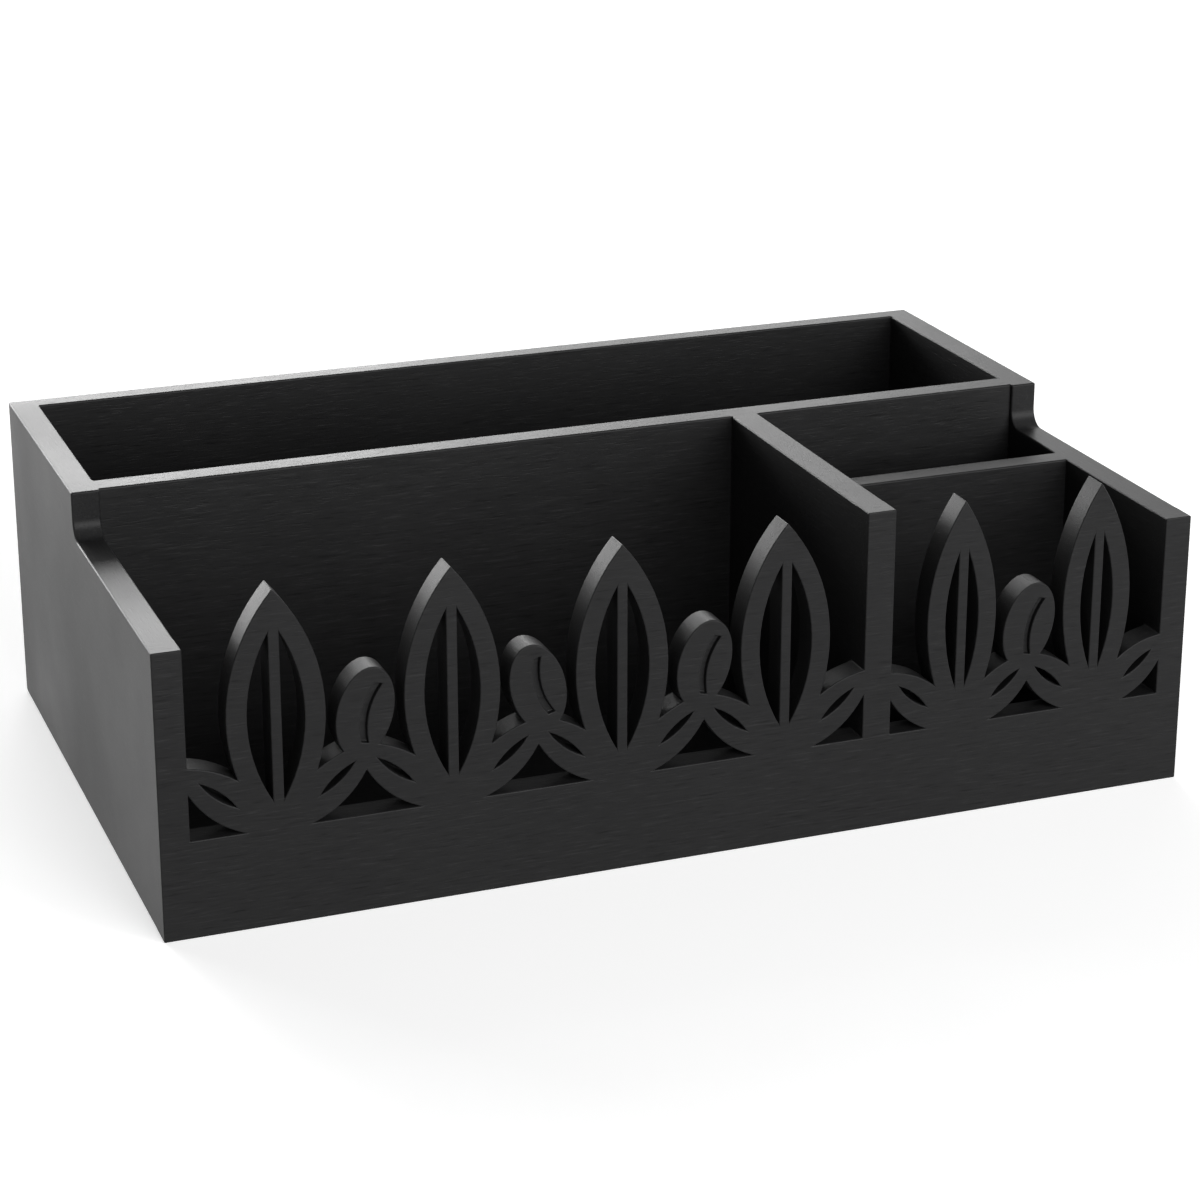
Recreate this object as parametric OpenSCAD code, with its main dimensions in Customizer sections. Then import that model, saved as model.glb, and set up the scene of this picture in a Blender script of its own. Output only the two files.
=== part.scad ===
// Countertop organizer: four open bays behind a pierced front board, in black painted wood.
// Millimetres, +Z up, front towards -Y. The origin is the centre of the footprint, on the counter.

/* [Overall size] */
// Width, left to right
body_w = 320; // [266:1:390]
// Depth, front to back
body_d = 198; // [165:1:240]
// Height of the rear bay, the bay divider and the tall leaves
body_h = 100; // [83:1:120]
// How much lower the sides are along the front bays
step_drop = 14; // [11:0.5:20]
// Radius of the hollow curve at the foot of that step
step_r = 5.5; // [2:0.5:10]
// How far the steps stand ahead of the middle partition's face
step_lead = 1.2; // [0:0.1:3]

/* [Bays] */
// Clear depth of the front bays, front board to middle partition
front_bay_d = 92.5; // [77:0.5:111]
// Clear width of the large front bay
main_bay_w = 203.4; // [168:0.1:240]
// Clear depth of the small front bay
small_bay_d = 53.5; // [44.5:0.5:64]

/* [Boards] */
// Thickness of the two side boards
side_t = 8.6; // [7:0.1:10.4]
// Thickness of the front board
front_t = 8.6; // [7:0.1:10.4]
// Thickness of the back board
back_t = 7; // [6:0.1:9]
// Thickness of the middle partition
partition_t = 8.3; // [7:0.1:10]
// Thickness of the bay divider
divider_t = 9; // [7:0.1:11]
// Thickness of the cross divider
cross_t = 7.7; // [6.4:0.1:9.2]
// Thickness of the bottom board
bottom_t = 4; // [3:0.1:5]

/* [Bottom rebate] */
// How far the bottom board reaches under each wall
rebate_w = 4.3; // [3:0.1:5]
// Gap between the bottom board's edge and its rebate
rebate_fit = 0.3; // [0.1:0.1:0.5]

/* [Pierced front] */
// Height of the solid band under the leaves
band_h = 29.5; // [24:0.5:36]
// Spacing that the tall leaves come nearest to
leaf_pitch = 48; // [38:1:58]
// Clear width between two tall leaves, where a bean stands
bean_gap = 22.5; // [19:0.5:27]
// Width of the rim round a tall leaf's opening
leaf_rim = 6; // [5:0.1:7.2]
// Width of the rib up the middle of that opening
leaf_rib = 3.2; // [2.5:0.1:4]
// Width of the low leaves
low_leaf_w = 13; // [10:0.5:16]
// Lean of the low leaves from upright, in degrees
low_leaf_lean = 50; // [44:1:56]
// Width of the slit in a low leaf
vein_w = 2; // [1:0.1:2.6]
// Height of a bean
bean_h = 27; // [22:0.5:32]
// Width of a bean
bean_w = 16.5; // [13:0.5:18]
// Lean of a bean from upright, in degrees
bean_lean = 14; // [0:1:18]
// Width of the crease down a bean
crease_w = 2; // [1:0.1:2.6]
// Depth of that crease, on both faces of the board
crease_depth = 1.6; // [0.8:0.1:2.4]

/* [Joints] */
// Diameter of the wooden dowels
dowel_d = 4; // [3:0.1:4.8]
// Length of a dowel
dowel_len = 20; // [16:1:24]
// Depth of a dowel in the face of a board
dowel_face_depth = 5.4; // [4:0.1:6]
// Glue gap round a dowel and past each of its ends
dowel_fit = 0.1; // [0.05:0.05:0.2]
// Diameter of the pins that hold the bottom board
pin_d = 1.4; // [1.1:0.1:1.7]
// Length of those pins
pin_len = 15; // [12:1:18]
// Diameter of a pin's head
pin_head_d = 2.6; // [2.2:0.1:3]
// Thickness of a pin's head
pin_head_t = 0.6; // [0.4:0.1:0.8]
// Gap round a pin
pin_fit = 0.05; // [0.02:0.01:0.1]

/* [Hidden] */
$fn = 64;
ARC_FN = 180;

PAINT = [0.10, 0.10, 0.10];
BEECH = [0.76, 0.60, 0.42];
STEEL = [0.66, 0.66, 0.68];

low_h = body_h - step_drop;
partition_y = front_t + front_bay_d;
divider_x = side_t + main_bay_w;
divider_end_x = divider_x + divider_t;
cross_y = front_t + small_bay_d;
inner_right_x = body_w - side_t;
inner_back_y = body_d - back_t;
over = 1;

// Heights of the dowels: clear of the bottom pins below, and of each board's top edge above
dowel_clear_z = 18;
dowel_top_inset = 16;
tall_dowel_z = [dowel_clear_z, body_h / 2, body_h - dowel_top_inset];
low_dowel_z = [dowel_clear_z, low_h - dowel_top_inset];
post_dowel_z = [band_h / 2, body_h / 2, body_h - dowel_top_inset];
upright_dowel_z = [band_h / 2, low_h - dowel_top_inset];

// Places of the dowels across each joint
side_mid = side_t / 2;
back_mid_y = body_d - back_t / 2;
partition_mid_y = partition_y + partition_t / 2;
divider_mid_x = divider_x + divider_t / 2;
cross_mid_y = cross_y + cross_t / 2;

// The pins stand in the middle of the wood above the rebate
pin_inset = rebate_w / 2;
pins_per_long_edge = 5;
pins_per_short_edge = 3;
pins_per_partition = 4;
pins_per_divider = 2;

// Places that share out a stretch evenly
function spread(from, to, count) = [for (i = [0 : count - 1]) from + (to - from) * (i + 0.5) / count];

module in_frame() {
    translate([-body_w / 2, -body_d / 2, 0])
        children();
}

// Stands a drawing of the front view up, with its front face at y
module from_front(y, thickness) {
    translate([0, y + thickness, 0])
        rotate([90, 0, 0])
            linear_extrude(thickness)
                children();
}

// Stands a drawing of the side view up, with its left face at x
module from_side(x, thickness) {
    translate([x, 0, 0])
        rotate([90, 0, 90])
            linear_extrude(thickness)
                children();
}

// One rod across a joint along X or Y. It stands dowel_face_depth into the board on its face side,
// which is -1 towards the lower coordinate, and the rest of it runs into the other board's end.
module rod_x(x, y, z, face_side, grow) {
    deep = dowel_face_depth + grow;
    long = dowel_len + 2 * grow;
    start = face_side < 0 ? x - deep : x + deep - long;
    translate([start, y, z])
        rotate([0, 90, 0])
            cylinder(h = long, d = dowel_d + 2 * grow);
}

module rod_y(x, y, z, face_side, grow) {
    deep = dowel_face_depth + grow;
    long = dowel_len + 2 * grow;
    end = face_side < 0 ? y - deep + long : y + deep;
    translate([x, end, z])
        rotate([90, 0, 0])
            cylinder(h = long, d = dowel_d + 2 * grow);
}

// Each joint's dowels, or their bores where grow is the glue gap
module front_left_rods(grow = 0) {
    for (z = upright_dowel_z)
        rod_y(side_mid, front_t, z, -1, grow);
}

module front_right_rods(grow = 0) {
    for (z = upright_dowel_z)
        rod_y(body_w - side_mid, front_t, z, -1, grow);
}

module back_left_rods(grow = 0) {
    for (z = tall_dowel_z)
        rod_x(side_t, back_mid_y, z, -1, grow);
}

module back_right_rods(grow = 0) {
    for (z = tall_dowel_z)
        rod_x(inner_right_x, back_mid_y, z, 1, grow);
}

module partition_left_rods(grow = 0) {
    for (z = tall_dowel_z)
        rod_x(side_t, partition_mid_y, z, -1, grow);
}

module partition_right_rods(grow = 0) {
    for (z = tall_dowel_z)
        rod_x(inner_right_x, partition_mid_y, z, 1, grow);
}

module divider_front_rods(grow = 0) {
    for (z = post_dowel_z)
        rod_y(divider_mid_x, front_t, z, -1, grow);
}

module divider_rear_rods(grow = 0) {
    for (z = tall_dowel_z)
        rod_y(divider_mid_x, partition_y, z, 1, grow);
}

module cross_left_rods(grow = 0) {
    for (z = low_dowel_z)
        rod_x(divider_end_x, cross_mid_y, z, -1, grow);
}

module cross_right_rods(grow = 0) {
    for (z = low_dowel_z)
        rod_x(inner_right_x, cross_mid_y, z, 1, grow);
}

// One pin driven up from below, or its hole where grow is its gap
module pin_at(x, y, grow) {
    translate([x, y, 0]) {
        cylinder(h = pin_len + grow, d = pin_d + 2 * grow);
        cylinder(h = pin_head_t + grow, d = pin_head_d + 2 * grow);
    }
}

module pins(grow = 0) {
    for (x = spread(side_t, inner_right_x, pins_per_long_edge)) {
        pin_at(x, front_t - pin_inset, grow);
        pin_at(x, inner_back_y + pin_inset, grow);
    }
    for (y = spread(front_t, inner_back_y, pins_per_short_edge)) {
        pin_at(side_t - pin_inset, y, grow);
        pin_at(inner_right_x + pin_inset, y, grow);
    }
    for (x = spread(side_t, inner_right_x, pins_per_partition))
        pin_at(x, partition_mid_y, grow);
    for (y = spread(front_t, partition_y, pins_per_divider))
        pin_at(divider_mid_x, y, grow);
    for (x = spread(divider_end_x, inner_right_x, pins_per_divider))
        pin_at(x, cross_mid_y, grow);
}

// The space that the bottom board fills under the walls
module rebate() {
    translate([side_t - rebate_w, front_t - rebate_w, -over])
        cube([
            inner_right_x - side_t + 2 * rebate_w,
            inner_back_y - front_t + 2 * rebate_w,
            bottom_t + over
        ]);
}

// Side view of a side board: full height behind, then a step and a hollow curve down to the front bays
module side_outline() {
    step_y = partition_y - step_lead;
    translate([front_t, 0])
        square([body_d - front_t, low_h]);
    translate([step_y, 0])
        square([body_d - step_y, body_h]);
    translate([step_y - step_r, low_h])
        difference() {
            square(step_r);
            translate([0, step_r])
                circle(r = step_r);
        }
}

module left_side() color(PAINT) in_frame()
    difference() {
        from_side(0, side_t)
            side_outline();
        rebate();
        front_left_rods(dowel_fit);
        back_left_rods(dowel_fit);
        partition_left_rods(dowel_fit);
        pins(pin_fit);
    }

module right_side() color(PAINT) in_frame()
    difference() {
        from_side(inner_right_x, side_t)
            side_outline();
        rebate();
        front_right_rods(dowel_fit);
        back_right_rods(dowel_fit);
        partition_right_rods(dowel_fit);
        cross_right_rods(dowel_fit);
        pins(pin_fit);
    }

module back_panel() color(PAINT) in_frame()
    difference() {
        translate([side_t, inner_back_y, 0])
            cube([inner_right_x - side_t, back_t, body_h]);
        rebate();
        back_left_rods(dowel_fit);
        back_right_rods(dowel_fit);
        pins(pin_fit);
    }

module bottom_board() color(PAINT) in_frame()
    difference() {
        translate([side_t - rebate_w + rebate_fit, front_t - rebate_w + rebate_fit, 0])
            cube([
                inner_right_x - side_t + 2 * (rebate_w - rebate_fit),
                inner_back_y - front_t + 2 * (rebate_w - rebate_fit),
                bottom_t
            ]);
        pins(pin_fit);
    }

module middle_partition() color(PAINT) in_frame()
    difference() {
        translate([side_t, partition_y, bottom_t])
            cube([inner_right_x - side_t, partition_t, body_h - bottom_t]);
        partition_left_rods(dowel_fit);
        partition_right_rods(dowel_fit);
        divider_rear_rods(dowel_fit);
        pins(pin_fit);
    }

module bay_divider() color(PAINT) in_frame()
    difference() {
        translate([divider_x, front_t, bottom_t])
            cube([divider_t, front_bay_d, body_h - bottom_t]);
        divider_front_rods(dowel_fit);
        divider_rear_rods(dowel_fit);
        cross_left_rods(dowel_fit);
        pins(pin_fit);
    }

module cross_divider() color(PAINT) in_frame()
    difference() {
        translate([divider_end_x, cross_y, bottom_t])
            cube([inner_right_x - divider_end_x, cross_t, low_h - bottom_t]);
        cross_left_rods(dowel_fit);
        cross_right_rods(dowel_fit);
        pins(pin_fit);
    }

// Leaves grow from a little below the band's top, and low leaves run on a little past where they meet.
// Of a low leaf's foot, low_leaf_seat is left inside the band.
leaf_root = 4;
low_leaf_root = 2;
low_leaf_seat = 1;
leaf_meet = 3;
leaf_base_z = band_h - leaf_root;
low_leaf_base_z = band_h - low_leaf_root;
tall_leaf_len = body_h - leaf_base_z;
// Shares of a low leaf's length where its slit starts, and that it runs for
vein_start = 0.42;
vein_run = 0.36;
// A bean's foot sinks this far into the leaves it stands on
bean_sink = 2;
bean_points = 72;
// Shares of a bean's height: the radius that its crease bends to, and the crease's length
crease_bend = 0.8;
crease_run = 0.66;

function leaf_r(length, width) = (length * length + width * width) / (4 * width);
function low_leaf_len(pitch) = (pitch / 2 + leaf_meet) / sin(low_leaf_lean);
function bean_z(pitch) =
    low_leaf_base_z + pitch / 2 / tan(low_leaf_lean) - bean_sink + bean_h / 2;

// A pointed leaf about the origin, drawn in from its full size by rim all round
module leaf(length, width, rim = 0) {
    r = leaf_r(length, width);
    intersection() {
        translate([r - width / 2, 0])
            circle(r = r - rim, $fn = ARC_FN);
        translate([width / 2 - r, 0])
            circle(r = r - rim, $fn = ARC_FN);
    }
}

// A drawing along a low leaf, from its root and leaning to one side
module along_low_leaf(side, distance) {
    rotate(-side * low_leaf_lean)
        translate([0, distance])
            children();
}

// A tall leaf with a low one on each side, whose feet are cut off just inside the band
module spray(pitch) {
    translate([0, leaf_base_z + tall_leaf_len / 2])
        leaf(tall_leaf_len, pitch - bean_gap);
    intersection() {
        translate([0, low_leaf_base_z])
            for (side = [-1, 1])
                along_low_leaf(side, low_leaf_len(pitch) / 2)
                    leaf(low_leaf_len(pitch), low_leaf_w);
        translate([-pitch, band_h - low_leaf_seat])
            square([2 * pitch, body_h]);
    }
}

// What is cut from a spray: the tall leaf's opening on each side of its rib, and a slit in each low leaf
module spray_openings(pitch) {
    translate([0, leaf_base_z + tall_leaf_len / 2])
        difference() {
            leaf(tall_leaf_len, pitch - bean_gap, leaf_rim);
            square([leaf_rib, tall_leaf_len], center = true);
        }
    translate([0, low_leaf_base_z])
        for (side = [-1, 1])
            along_low_leaf(side, low_leaf_len(pitch) * (vein_start + vein_run / 2))
                leaf(low_leaf_len(pitch) * vein_run, vein_w);
}

module bean() {
    polygon([
        for (i = [0 : bean_points - 1])
            let (a = 360 * i / bean_points)
                [bean_w / 2 * cos(a), bean_h / 2 * sin(a)]
    ]);
}

module crease() {
    bend_r = bean_h * crease_bend;
    translate([bend_r, 0])
        intersection() {
            difference() {
                circle(r = bend_r + crease_w / 2, $fn = ARC_FN);
                circle(r = bend_r - crease_w / 2, $fn = ARC_FN);
            }
            translate([-bend_r, 0])
                square([bend_r, bean_h * crease_run], center = true);
        }
}

function leaf_count(from, to) = max(1, round((to - from) / leaf_pitch));

// Puts a drawing wherever two sprays of a bay meet, leaning one way and then the other
module at_beans(from, to) {
    count = leaf_count(from, to);
    pitch = (to - from) / count;
    for (i = [1 : 1 : count - 1])
        translate([from + i * pitch, bean_z(pitch)])
            rotate(i % 2 == 1 ? -bean_lean : bean_lean)
                children();
}

// Sprays side by side across one bay, with a bean wherever two of them meet
module frieze(from, to) {
    count = leaf_count(from, to);
    pitch = (to - from) / count;
    difference() {
        for (x = spread(from, to, count))
            translate([x, 0])
                spray(pitch);
        for (x = spread(from, to, count))
            translate([x, 0])
                spray_openings(pitch);
    }
    at_beans(from, to)
        bean();
}

module creases() {
    at_beans(side_t, divider_x)
        crease();
    at_beans(divider_end_x, inner_right_x)
        crease();
}

module front_outline() {
    square([body_w, band_h]);
    square([side_t, low_h]);
    translate([inner_right_x, 0])
        square([side_t, low_h]);
    translate([divider_x, 0])
        square([divider_t, body_h]);
    frieze(side_t, divider_x);
    frieze(divider_end_x, inner_right_x);
}

module front_fret_panel() color(PAINT) in_frame()
    difference() {
        from_front(0, front_t)
            front_outline();
        from_front(-over, over + crease_depth)
            creases();
        from_front(front_t - crease_depth, over + crease_depth)
            creases();
        rebate();
        front_left_rods(dowel_fit);
        front_right_rods(dowel_fit);
        divider_front_rods(dowel_fit);
        pins(pin_fit);
    }

module front_left_dowels() color(BEECH) in_frame() front_left_rods();
module front_right_dowels() color(BEECH) in_frame() front_right_rods();
module back_left_dowels() color(BEECH) in_frame() back_left_rods();
module back_right_dowels() color(BEECH) in_frame() back_right_rods();
module partition_left_dowels() color(BEECH) in_frame() partition_left_rods();
module partition_right_dowels() color(BEECH) in_frame() partition_right_rods();
module divider_front_dowels() color(BEECH) in_frame() divider_front_rods();
module divider_rear_dowels() color(BEECH) in_frame() divider_rear_rods();
module cross_left_dowels() color(BEECH) in_frame() cross_left_rods();
module cross_right_dowels() color(BEECH) in_frame() cross_right_rods();
module bottom_pins() color(STEEL) in_frame() pins();

left_side();
right_side();
back_panel();
bottom_board();
middle_partition();
bay_divider();
cross_divider();
front_fret_panel();
front_left_dowels();
front_right_dowels();
back_left_dowels();
back_right_dowels();
partition_left_dowels();
partition_right_dowels();
divider_front_dowels();
divider_rear_dowels();
cross_left_dowels();
cross_right_dowels();
bottom_pins();
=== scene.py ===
import math

import bmesh
import bpy
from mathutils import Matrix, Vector
from mathutils.bvhtree import BVHTree


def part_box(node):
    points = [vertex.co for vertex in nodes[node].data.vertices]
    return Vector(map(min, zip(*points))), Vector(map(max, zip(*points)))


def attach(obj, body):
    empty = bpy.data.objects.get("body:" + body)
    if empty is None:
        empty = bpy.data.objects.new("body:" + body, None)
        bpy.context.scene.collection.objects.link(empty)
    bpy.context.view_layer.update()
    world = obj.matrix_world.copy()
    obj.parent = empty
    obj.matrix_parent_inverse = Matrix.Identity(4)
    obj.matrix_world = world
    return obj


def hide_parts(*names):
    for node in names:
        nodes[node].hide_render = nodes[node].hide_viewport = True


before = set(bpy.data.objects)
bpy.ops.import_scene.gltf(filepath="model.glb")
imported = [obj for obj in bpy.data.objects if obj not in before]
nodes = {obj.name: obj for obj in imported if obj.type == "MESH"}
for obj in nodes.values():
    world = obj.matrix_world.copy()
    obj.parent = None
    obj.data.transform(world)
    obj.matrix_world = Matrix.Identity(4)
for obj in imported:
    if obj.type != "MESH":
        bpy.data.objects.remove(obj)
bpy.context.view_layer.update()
mm = 0.001

# One camera, low on the left, as a product photographer would stand
cameraSettings = {
    "place": (-0.3237, -0.8703, 0.3947),
    "turn": -20.772,  # degrees round the object, 0 is straight in front
    "height": 18.858,  # degrees above the horizon
    "lens": 93.8,
    "shift": -0.08,
}


def addCamera():
    data = bpy.data.cameras.new("productCamera")
    data.lens = cameraSettings["lens"]
    data.shift_y = cameraSettings["shift"]
    cam = bpy.data.objects.new("productCamera", data)
    turn, height = math.radians(cameraSettings["turn"]), math.radians(cameraSettings["height"])
    back = Vector((math.sin(turn) * math.cos(height), -math.cos(turn) * math.cos(height), math.sin(height)))
    cam.location = cameraSettings["place"]
    cam.rotation_euler = (-back).to_track_quat("-Z", "Y").to_euler()
    bpy.context.scene.collection.objects.link(cam)
    bpy.context.scene.camera = cam


addCamera()
print("camera placed")


# Materials

def newMaterial(name):
    mat = bpy.data.materials.new(name)
    mat.use_nodes = True
    tree = mat.node_tree
    return mat, tree, tree.nodes["Principled BSDF"]


def addNode(tree, kind, inputs=None, **settings):
    node = tree.nodes.new(kind)
    for key, value in settings.items():
        setattr(node, key, value)
    for key, value in (inputs or {}).items():
        node.inputs[key].default_value = value
    return node


paint = {
    # Places along the grain's own values, and the colour there: dark pores, plain paint, worn ridges
    "colours": (
        (0.28, (0.006, 0.006, 0.0062, 1)),
        (0.40, (0.011, 0.011, 0.0113, 1)),
        (0.60, (0.013, 0.013, 0.0133, 1)),
        (0.72, (0.020, 0.020, 0.0204, 1)),
    ),
    "specular": 0.1,
    "roughness": (0.36, 0.44),
    "grainLength": 9 * mm,
    "grainWidth": 0.6 * mm,
    "grainDepth": 0.012 * mm,
    "grainNoise": {"Scale": 1, "Detail": 3, "Roughness": 0.6, "Distortion": 0.3},
    "poreLength": 4.5 * mm,
    "poreWidth": 0.48 * mm,
    "poreDepth": 0.02 * mm,
    "poreNoise": {"Scale": 1, "Detail": 1, "Roughness": 0.5},
    "poreEdge": {"From Min": 0.60, "From Max": 0.72},  # how much of that noise is a pore
    "mottleNoise": {"Scale": 1 / (60 * mm), "Detail": 3, "Roughness": 0.5},  # patches 60 mm across
    "mottleRange": {"From Min": 0.3, "From Max": 0.7},
    "seedStep": (0.37, 0.61, 0.83),  # moves the grain from board to board
}


def grainScale(along, length, width):
    # Stretches a pattern along one axis, 0 to 2, and packs it tight across the others
    return tuple(1 / length if axis == along else 1 / width for axis in range(3))


def paintedWood(name, along, seed):
    # Black satin paint that lets the wood's grain show
    mat, tree, shader = newMaterial(name)
    link = tree.links.new
    coords = addNode(tree, "ShaderNodeTexCoord")

    def stretched(length, width):
        mapping = addNode(tree, "ShaderNodeMapping", {
            "Location": tuple(seed * step for step in paint["seedStep"]),
            "Scale": grainScale(along, length, width),
        })
        link(coords.outputs["Object"], mapping.inputs["Vector"])
        return mapping.outputs["Vector"]

    fine = addNode(tree, "ShaderNodeTexNoise", paint["grainNoise"])
    link(stretched(paint["grainLength"], paint["grainWidth"]), fine.inputs["Vector"])
    pores = addNode(tree, "ShaderNodeTexNoise", paint["poreNoise"])
    link(stretched(paint["poreLength"], paint["poreWidth"]), pores.inputs["Vector"])
    mottle = addNode(tree, "ShaderNodeTexNoise", paint["mottleNoise"])
    link(coords.outputs["Object"], mottle.inputs["Vector"])

    dash = addNode(tree, "ShaderNodeMapRange", paint["poreEdge"])
    link(pores.outputs["Fac"], dash.inputs["Value"])

    colour = addNode(tree, "ShaderNodeValToRGB")
    stops = colour.color_ramp.elements
    while len(stops) < len(paint["colours"]):
        stops.new(1)
    for stop, (place, value) in zip(stops, paint["colours"]):
        stop.position = place
        stop.color = value
    link(fine.outputs["Fac"], colour.inputs["Fac"])
    link(colour.outputs["Color"], shader.inputs["Base Color"])
    shader.inputs["Specular IOR Level"].default_value = paint["specular"]

    rough = addNode(tree, "ShaderNodeMapRange", paint["mottleRange"])
    rough.inputs["To Min"].default_value, rough.inputs["To Max"].default_value = paint["roughness"]
    link(mottle.outputs["Fac"], rough.inputs["Value"])
    link(rough.outputs["Result"], shader.inputs["Roughness"])

    grainBump = addNode(tree, "ShaderNodeBump", {"Strength": 1, "Distance": paint["grainDepth"]})
    link(fine.outputs["Fac"], grainBump.inputs["Height"])
    poreBump = addNode(tree, "ShaderNodeBump", {"Strength": 1, "Distance": paint["poreDepth"]}, invert=True)
    link(dash.outputs["Result"], poreBump.inputs["Height"])
    link(grainBump.outputs["Normal"], poreBump.inputs["Normal"])
    link(poreBump.outputs["Normal"], shader.inputs["Normal"])
    return mat


# Dowels and pins, which hardly show: bare wood and drawn wire, each one noise between two colours

dowelWood = {
    "noise": {"Scale": 900, "Detail": 4},
    "dark": (0.42, 0.27, 0.15, 1),
    "light": (0.62, 0.45, 0.28, 1),
    "metallic": 0,
    "roughness": 0.7,
}
pinSteel = {
    "noise": {"Scale": 2500, "Detail": 2},
    "dark": (0.42, 0.42, 0.43, 1),
    "light": (0.60, 0.60, 0.61, 1),
    "metallic": 1,
    "roughness": 0.35,
}


def plainFinish(name, look):
    mat, tree, shader = newMaterial(name)
    link = tree.links.new
    coords = addNode(tree, "ShaderNodeTexCoord")
    marks = addNode(tree, "ShaderNodeTexNoise", look["noise"])
    ramp = addNode(tree, "ShaderNodeValToRGB")
    ramp.color_ramp.elements[0].color = look["dark"]
    ramp.color_ramp.elements[1].color = look["light"]
    link(coords.outputs["Object"], marks.inputs["Vector"])
    link(marks.outputs["Fac"], ramp.inputs["Fac"])
    link(ramp.outputs["Color"], shader.inputs["Base Color"])
    shader.inputs["Metallic"].default_value = look["metallic"]
    shader.inputs["Roughness"].default_value = look["roughness"]
    return mat


# Boards: each is the frame's own shape with its open edges eased by sandpaper

sanded = 0.6 * mm
lightlySanded = 0.4 * mm
boards = {
    "left_side": {"grain": 1, "seed": 1, "radius": sanded},
    "right_side": {"grain": 1, "seed": 2, "radius": sanded},
    "back_panel": {"grain": 0, "seed": 3, "radius": sanded},
    "bottom_board": {"grain": 0, "seed": 4, "radius": lightlySanded},
    "middle_partition": {"grain": 0, "seed": 5, "radius": sanded},
    "bay_divider": {"grain": 1, "seed": 6, "radius": sanded},
    "cross_divider": {"grain": 0, "seed": 7, "radius": sanded},
    "front_fret_panel": {"grain": 0, "seed": 8, "radius": lightlySanded},
}
# These meet each other above the bottom board, so each is cut beside its neighbours before it is eased
uprightBoards = (
    "left_side",
    "right_side",
    "back_panel",
    "middle_partition",
    "bay_divider",
    "cross_divider",
)
# The lowest edge at the back is rounded more
backFoot = {
    "boards": ("left_side", "right_side", "back_panel"),
    "radius": 2.0 * mm,
    "steps": 6,
}
easing = {
    "steps": 4,
    "easedTurn": math.radians(28),  # edges that turn more than this are eased
    "crispTurn": math.radians(35),  # edges that still turn more than this stay crisp
    "flatTurn": math.radians(0.3),  # edges that turn less than this lie in a flat face
    "touching": 0.02 * mm,  # an edge this near another board is a glued joint, filled and painted over
    "bore": 0.2 * mm,  # an edge this near a dowel or pin is part of its hole, left as drilled
    "weld": 0.002 * mm,  # points this near each other are one
    "room": 3,  # the flat wood that an easing needs beside it, in radii
}


def weldedCopy(name):
    mesh = bmesh.new()
    mesh.from_mesh(nodes[name].data)
    bmesh.ops.remove_doubles(mesh, verts=mesh.verts, dist=easing["weld"])
    bmesh.ops.dissolve_limit(mesh, angle_limit=easing["flatTurn"], verts=mesh.verts, edges=mesh.edges)
    return mesh


welded = {name: weldedCopy(name) for name in boards}
surfaces = {name: BVHTree.FromBMesh(mesh) for name, mesh in welded.items()}
bores = []
for fastener in nodes:
    if fastener not in boards:
        rods = weldedCopy(fastener)
        bores.append(BVHTree.FromBMesh(rods))
        rods.free()


def isCovered(point, ownName):
    others = [surface for name, surface in surfaces.items() if name != ownName]
    joined = any(surface.find_nearest(point, easing["touching"])[0] is not None for surface in others)
    return joined or any(rods.find_nearest(point, easing["bore"])[0] is not None for rods in bores)


def cutAtNeighbours(mesh, name, along, radius):
    # Cuts a board across beside its neighbours, so that its easing runs out where their wood begins
    low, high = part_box(name)
    slack = easing["touching"]
    normal = Vector([1 if axis == along else 0 for axis in range(3)])
    for other in uprightBoards:
        otherLow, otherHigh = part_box(other)
        apart = any(otherLow[a] > high[a] + slack or otherHigh[a] < low[a] - slack for a in range(3))
        if other == name or apart:
            continue
        for place in (otherLow[along] - radius, otherHigh[along] + radius):
            if low[along] + slack < place < high[along] - slack:
                bmesh.ops.bisect_plane(
                    mesh,
                    geom=mesh.verts[:] + mesh.edges[:] + mesh.faces[:],
                    dist=easing["weld"],
                    plane_co=normal * place,
                    plane_no=normal,
                )


def isFlat(vert):
    return all(edge.calc_face_angle() < easing["flatTurn"] for edge in vert.link_edges)


def slideClear(mesh, radius):
    # A point in a flat face that is too near an edge slides away from it, so that the easing has room
    room = easing["room"] * radius
    for vert in mesh.verts:
        others = [edge.other_vert(vert) for edge in vert.link_edges]
        ends = [other.co for other in others if not isFlat(other)]
        if ends and isFlat(vert):
            nearest = min(ends, key=lambda end: (vert.co - end).length)
            if (vert.co - nearest).length < room:
                vert.co = nearest + (vert.co - nearest).normalized() * room


def roundEdges(mesh, edges, radius, steps):
    made = bmesh.ops.bevel(
        mesh,
        geom=edges,
        offset=radius,
        offset_type="OFFSET",
        segments=steps,
        profile=0.5,
        affect="EDGES",
        clamp_overlap=False,
        material=-1,
    )
    return set(made["faces"])


def roundBackFoot(mesh, name):
    low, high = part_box(name)
    near = easing["touching"]
    edges = [
        edge for edge in mesh.edges
        if all(v.co.y > high.y - near and v.co.z < low.z + near for v in edge.verts)
    ]
    roundEdges(mesh, edges, backFoot["radius"], backFoot["steps"])


def markSharp(mesh, rounded):
    # Where an easing runs out in small triangles, they aren't shaded into the flat wood beside them
    for edge in mesh.edges:
        runsOut = any(face in rounded and len(face.verts) == 3 for face in edge.link_faces)
        flatBeside = any(face not in rounded for face in edge.link_faces)
        edge.smooth = edge.calc_face_angle() < easing["crispTurn"] and not (runsOut and flatBeside)


def openEdges(mesh, name):
    found = []
    for edge in mesh.edges:
        if len(edge.link_faces) == 2 and edge.calc_face_angle() > easing["easedTurn"]:
            middle = (edge.verts[0].co + edge.verts[1].co) / 2
            if not isCovered(middle, name):
                found.append(edge)
    return found


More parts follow.
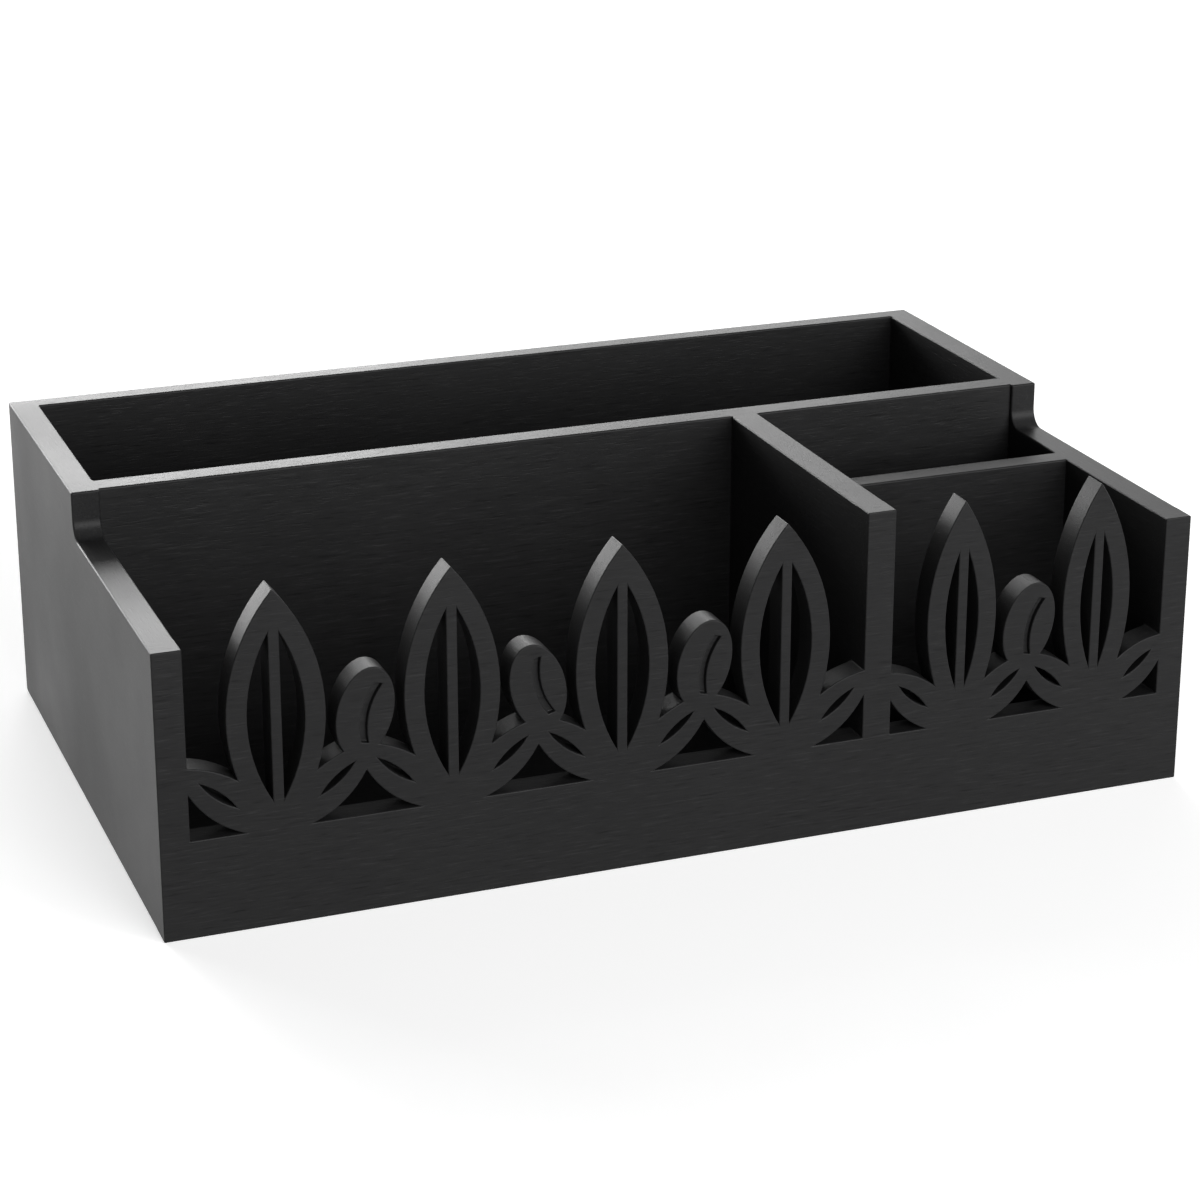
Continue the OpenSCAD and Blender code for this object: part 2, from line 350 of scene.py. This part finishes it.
def addPiece(name, mesh, material, node):
    data = bpy.data.meshes.new(name)
    mesh.to_mesh(data)
    mesh.free()
    piece = bpy.data.objects.new(name, data)
    bpy.context.scene.collection.objects.link(piece)
    data.materials.append(material)
    normals = piece.modifiers.new("evenShading", "WEIGHTED_NORMAL")
    normals.keep_sharp = True
    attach(piece, "root")
    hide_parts(node)


def easedBoard(name, grain, seed, radius):
    mesh = welded[name]
    if name in backFoot["boards"]:
        roundBackFoot(mesh, name)
    if name in uprightBoards:
        cutAtNeighbours(mesh, name, grain, radius)
        slideClear(mesh, radius)
    edges = openEdges(mesh, name)
    rounded = roundEdges(mesh, edges, radius, easing["steps"])
    # An easing that ends exactly on a cut leaves faces of no width there
    bmesh.ops.dissolve_degenerate(mesh, dist=easing["weld"], edges=mesh.edges)
    rounded = {face for face in rounded if face.is_valid}
    for face in mesh.faces:
        face.smooth = True
    markSharp(mesh, rounded)
    material = paintedWood(name + "Paint", grain, seed)
    addPiece(name + "_board", mesh, material, name)
    print(name, "eased on", len(edges), "edges")


for boardName, board in boards.items():
    easedBoard(boardName, **board)

beech = plainFinish("beechDowel", dowelWood)
steel = plainFinish("pinSteel", pinSteel)
for fastener, node in nodes.items():
    if fastener not in boards:
        node.data.materials.clear()
        node.data.materials.append(steel if fastener == "bottom_pins" else beech)
print("fasteners finished")


# Studio: a white floor and soft lights

studio = {
    "floorSize": 40,
    "floorColour": (0.9, 0.9, 0.9, 1),
    "skyLevel": 0.05,
    "floorGlow": 0.5,
    "lampAim": (0, 0, 0.05),
}
lamps = {
    "backSoftbox": {"place": (-0.1, 2.6, 1.05), "size": (1.9, 1.1), "power": 56},
    "backMiddleSoftbox": {"place": (0.9, 2.5, 1.1), "size": (0.9, 1.0), "power": 9},
    "backRightSoftbox": {"place": (1.6, 2.2, 1.2), "size": (1.2, 1.1), "power": 5},
    "frontSoftbox": {"place": (0.3, -2.4, 0.75), "size": (1.2, 1.4), "power": 46},
    "rightFrontSoftbox": {"place": (0.9, -1.3, 0.6), "size": (0.7, 0.9), "power": 14},
    "backLeftSoftbox": {"place": (-1.0, 1.9, 0.4), "size": (1.0, 0.6), "power": 25},
}


def addSeenRays(tree):
    # 1 where the camera, a reflection or a clear surface looks, 0 for the light that falls on the object
    rays = addNode(tree, "ShaderNodeLightPath")
    mirrored = addNode(tree, "ShaderNodeMath", operation="MAXIMUM")
    tree.links.new(rays.outputs["Is Glossy Ray"], mirrored.inputs[0])
    tree.links.new(rays.outputs["Is Transmission Ray"], mirrored.inputs[1])
    seen = addNode(tree, "ShaderNodeMath", operation="MAXIMUM")
    tree.links.new(rays.outputs["Is Camera Ray"], seen.inputs[0])
    tree.links.new(mirrored.outputs["Value"], seen.inputs[1])
    return seen.outputs["Value"]


def addFloor():
    mesh = bmesh.new()
    bmesh.ops.create_grid(mesh, x_segments=1, y_segments=1, size=studio["floorSize"] / 2)
    data = bpy.data.meshes.new("floor")
    mesh.to_mesh(data)
    mesh.free()
    floor = bpy.data.objects.new("floor", data)
    bpy.context.scene.collection.objects.link(floor)
    mat, tree, shader = newMaterial("floorWhite")
    shader.inputs["Base Color"].default_value = studio["floorColour"]
    shader.inputs["Roughness"].default_value = 1
    shader.inputs["Specular IOR Level"].default_value = 0
    shader.inputs["Emission Color"].default_value = (1, 1, 1, 1)
    glow = addNode(tree, "ShaderNodeMath", {1: studio["floorGlow"]}, operation="MULTIPLY")
    tree.links.new(addSeenRays(tree), glow.inputs[0])
    tree.links.new(glow.outputs["Value"], shader.inputs["Emission Strength"])
    data.materials.append(mat)


def addSky():
    world = bpy.data.worlds.new("studioWorld")
    bpy.context.scene.world = world
    world.use_nodes = True
    tree = world.node_tree
    tree.nodes.clear()
    light = addNode(tree, "ShaderNodeBackground", {"Color": (1, 1, 1, 1), "Strength": studio["skyLevel"]})
    white = addNode(tree, "ShaderNodeBackground", {"Color": (1, 1, 1, 1), "Strength": 1})
    choose = addNode(tree, "ShaderNodeMixShader")
    out = addNode(tree, "ShaderNodeOutputWorld")
    tree.links.new(addSeenRays(tree), choose.inputs["Fac"])
    tree.links.new(light.outputs["Background"], choose.inputs[1])
    tree.links.new(white.outputs["Background"], choose.inputs[2])
    tree.links.new(choose.outputs["Shader"], out.inputs["Surface"])


def addLamp(name, place, size, power):
    data = bpy.data.lights.new(name, "AREA")
    data.shape = "RECTANGLE"
    data.size, data.size_y = size
    data.energy = power
    lamp = bpy.data.objects.new(name, data)
    lamp.location = place
    aim = Vector(studio["lampAim"]) - Vector(place)
    lamp.rotation_euler = aim.to_track_quat("-Z", "Y").to_euler()
    bpy.context.scene.collection.objects.link(lamp)


addFloor()
addSky()
for lampName, lamp in lamps.items():
    addLamp(lampName, **lamp)
bpy.context.scene.view_settings.view_transform = "Standard"
print("studio lit")
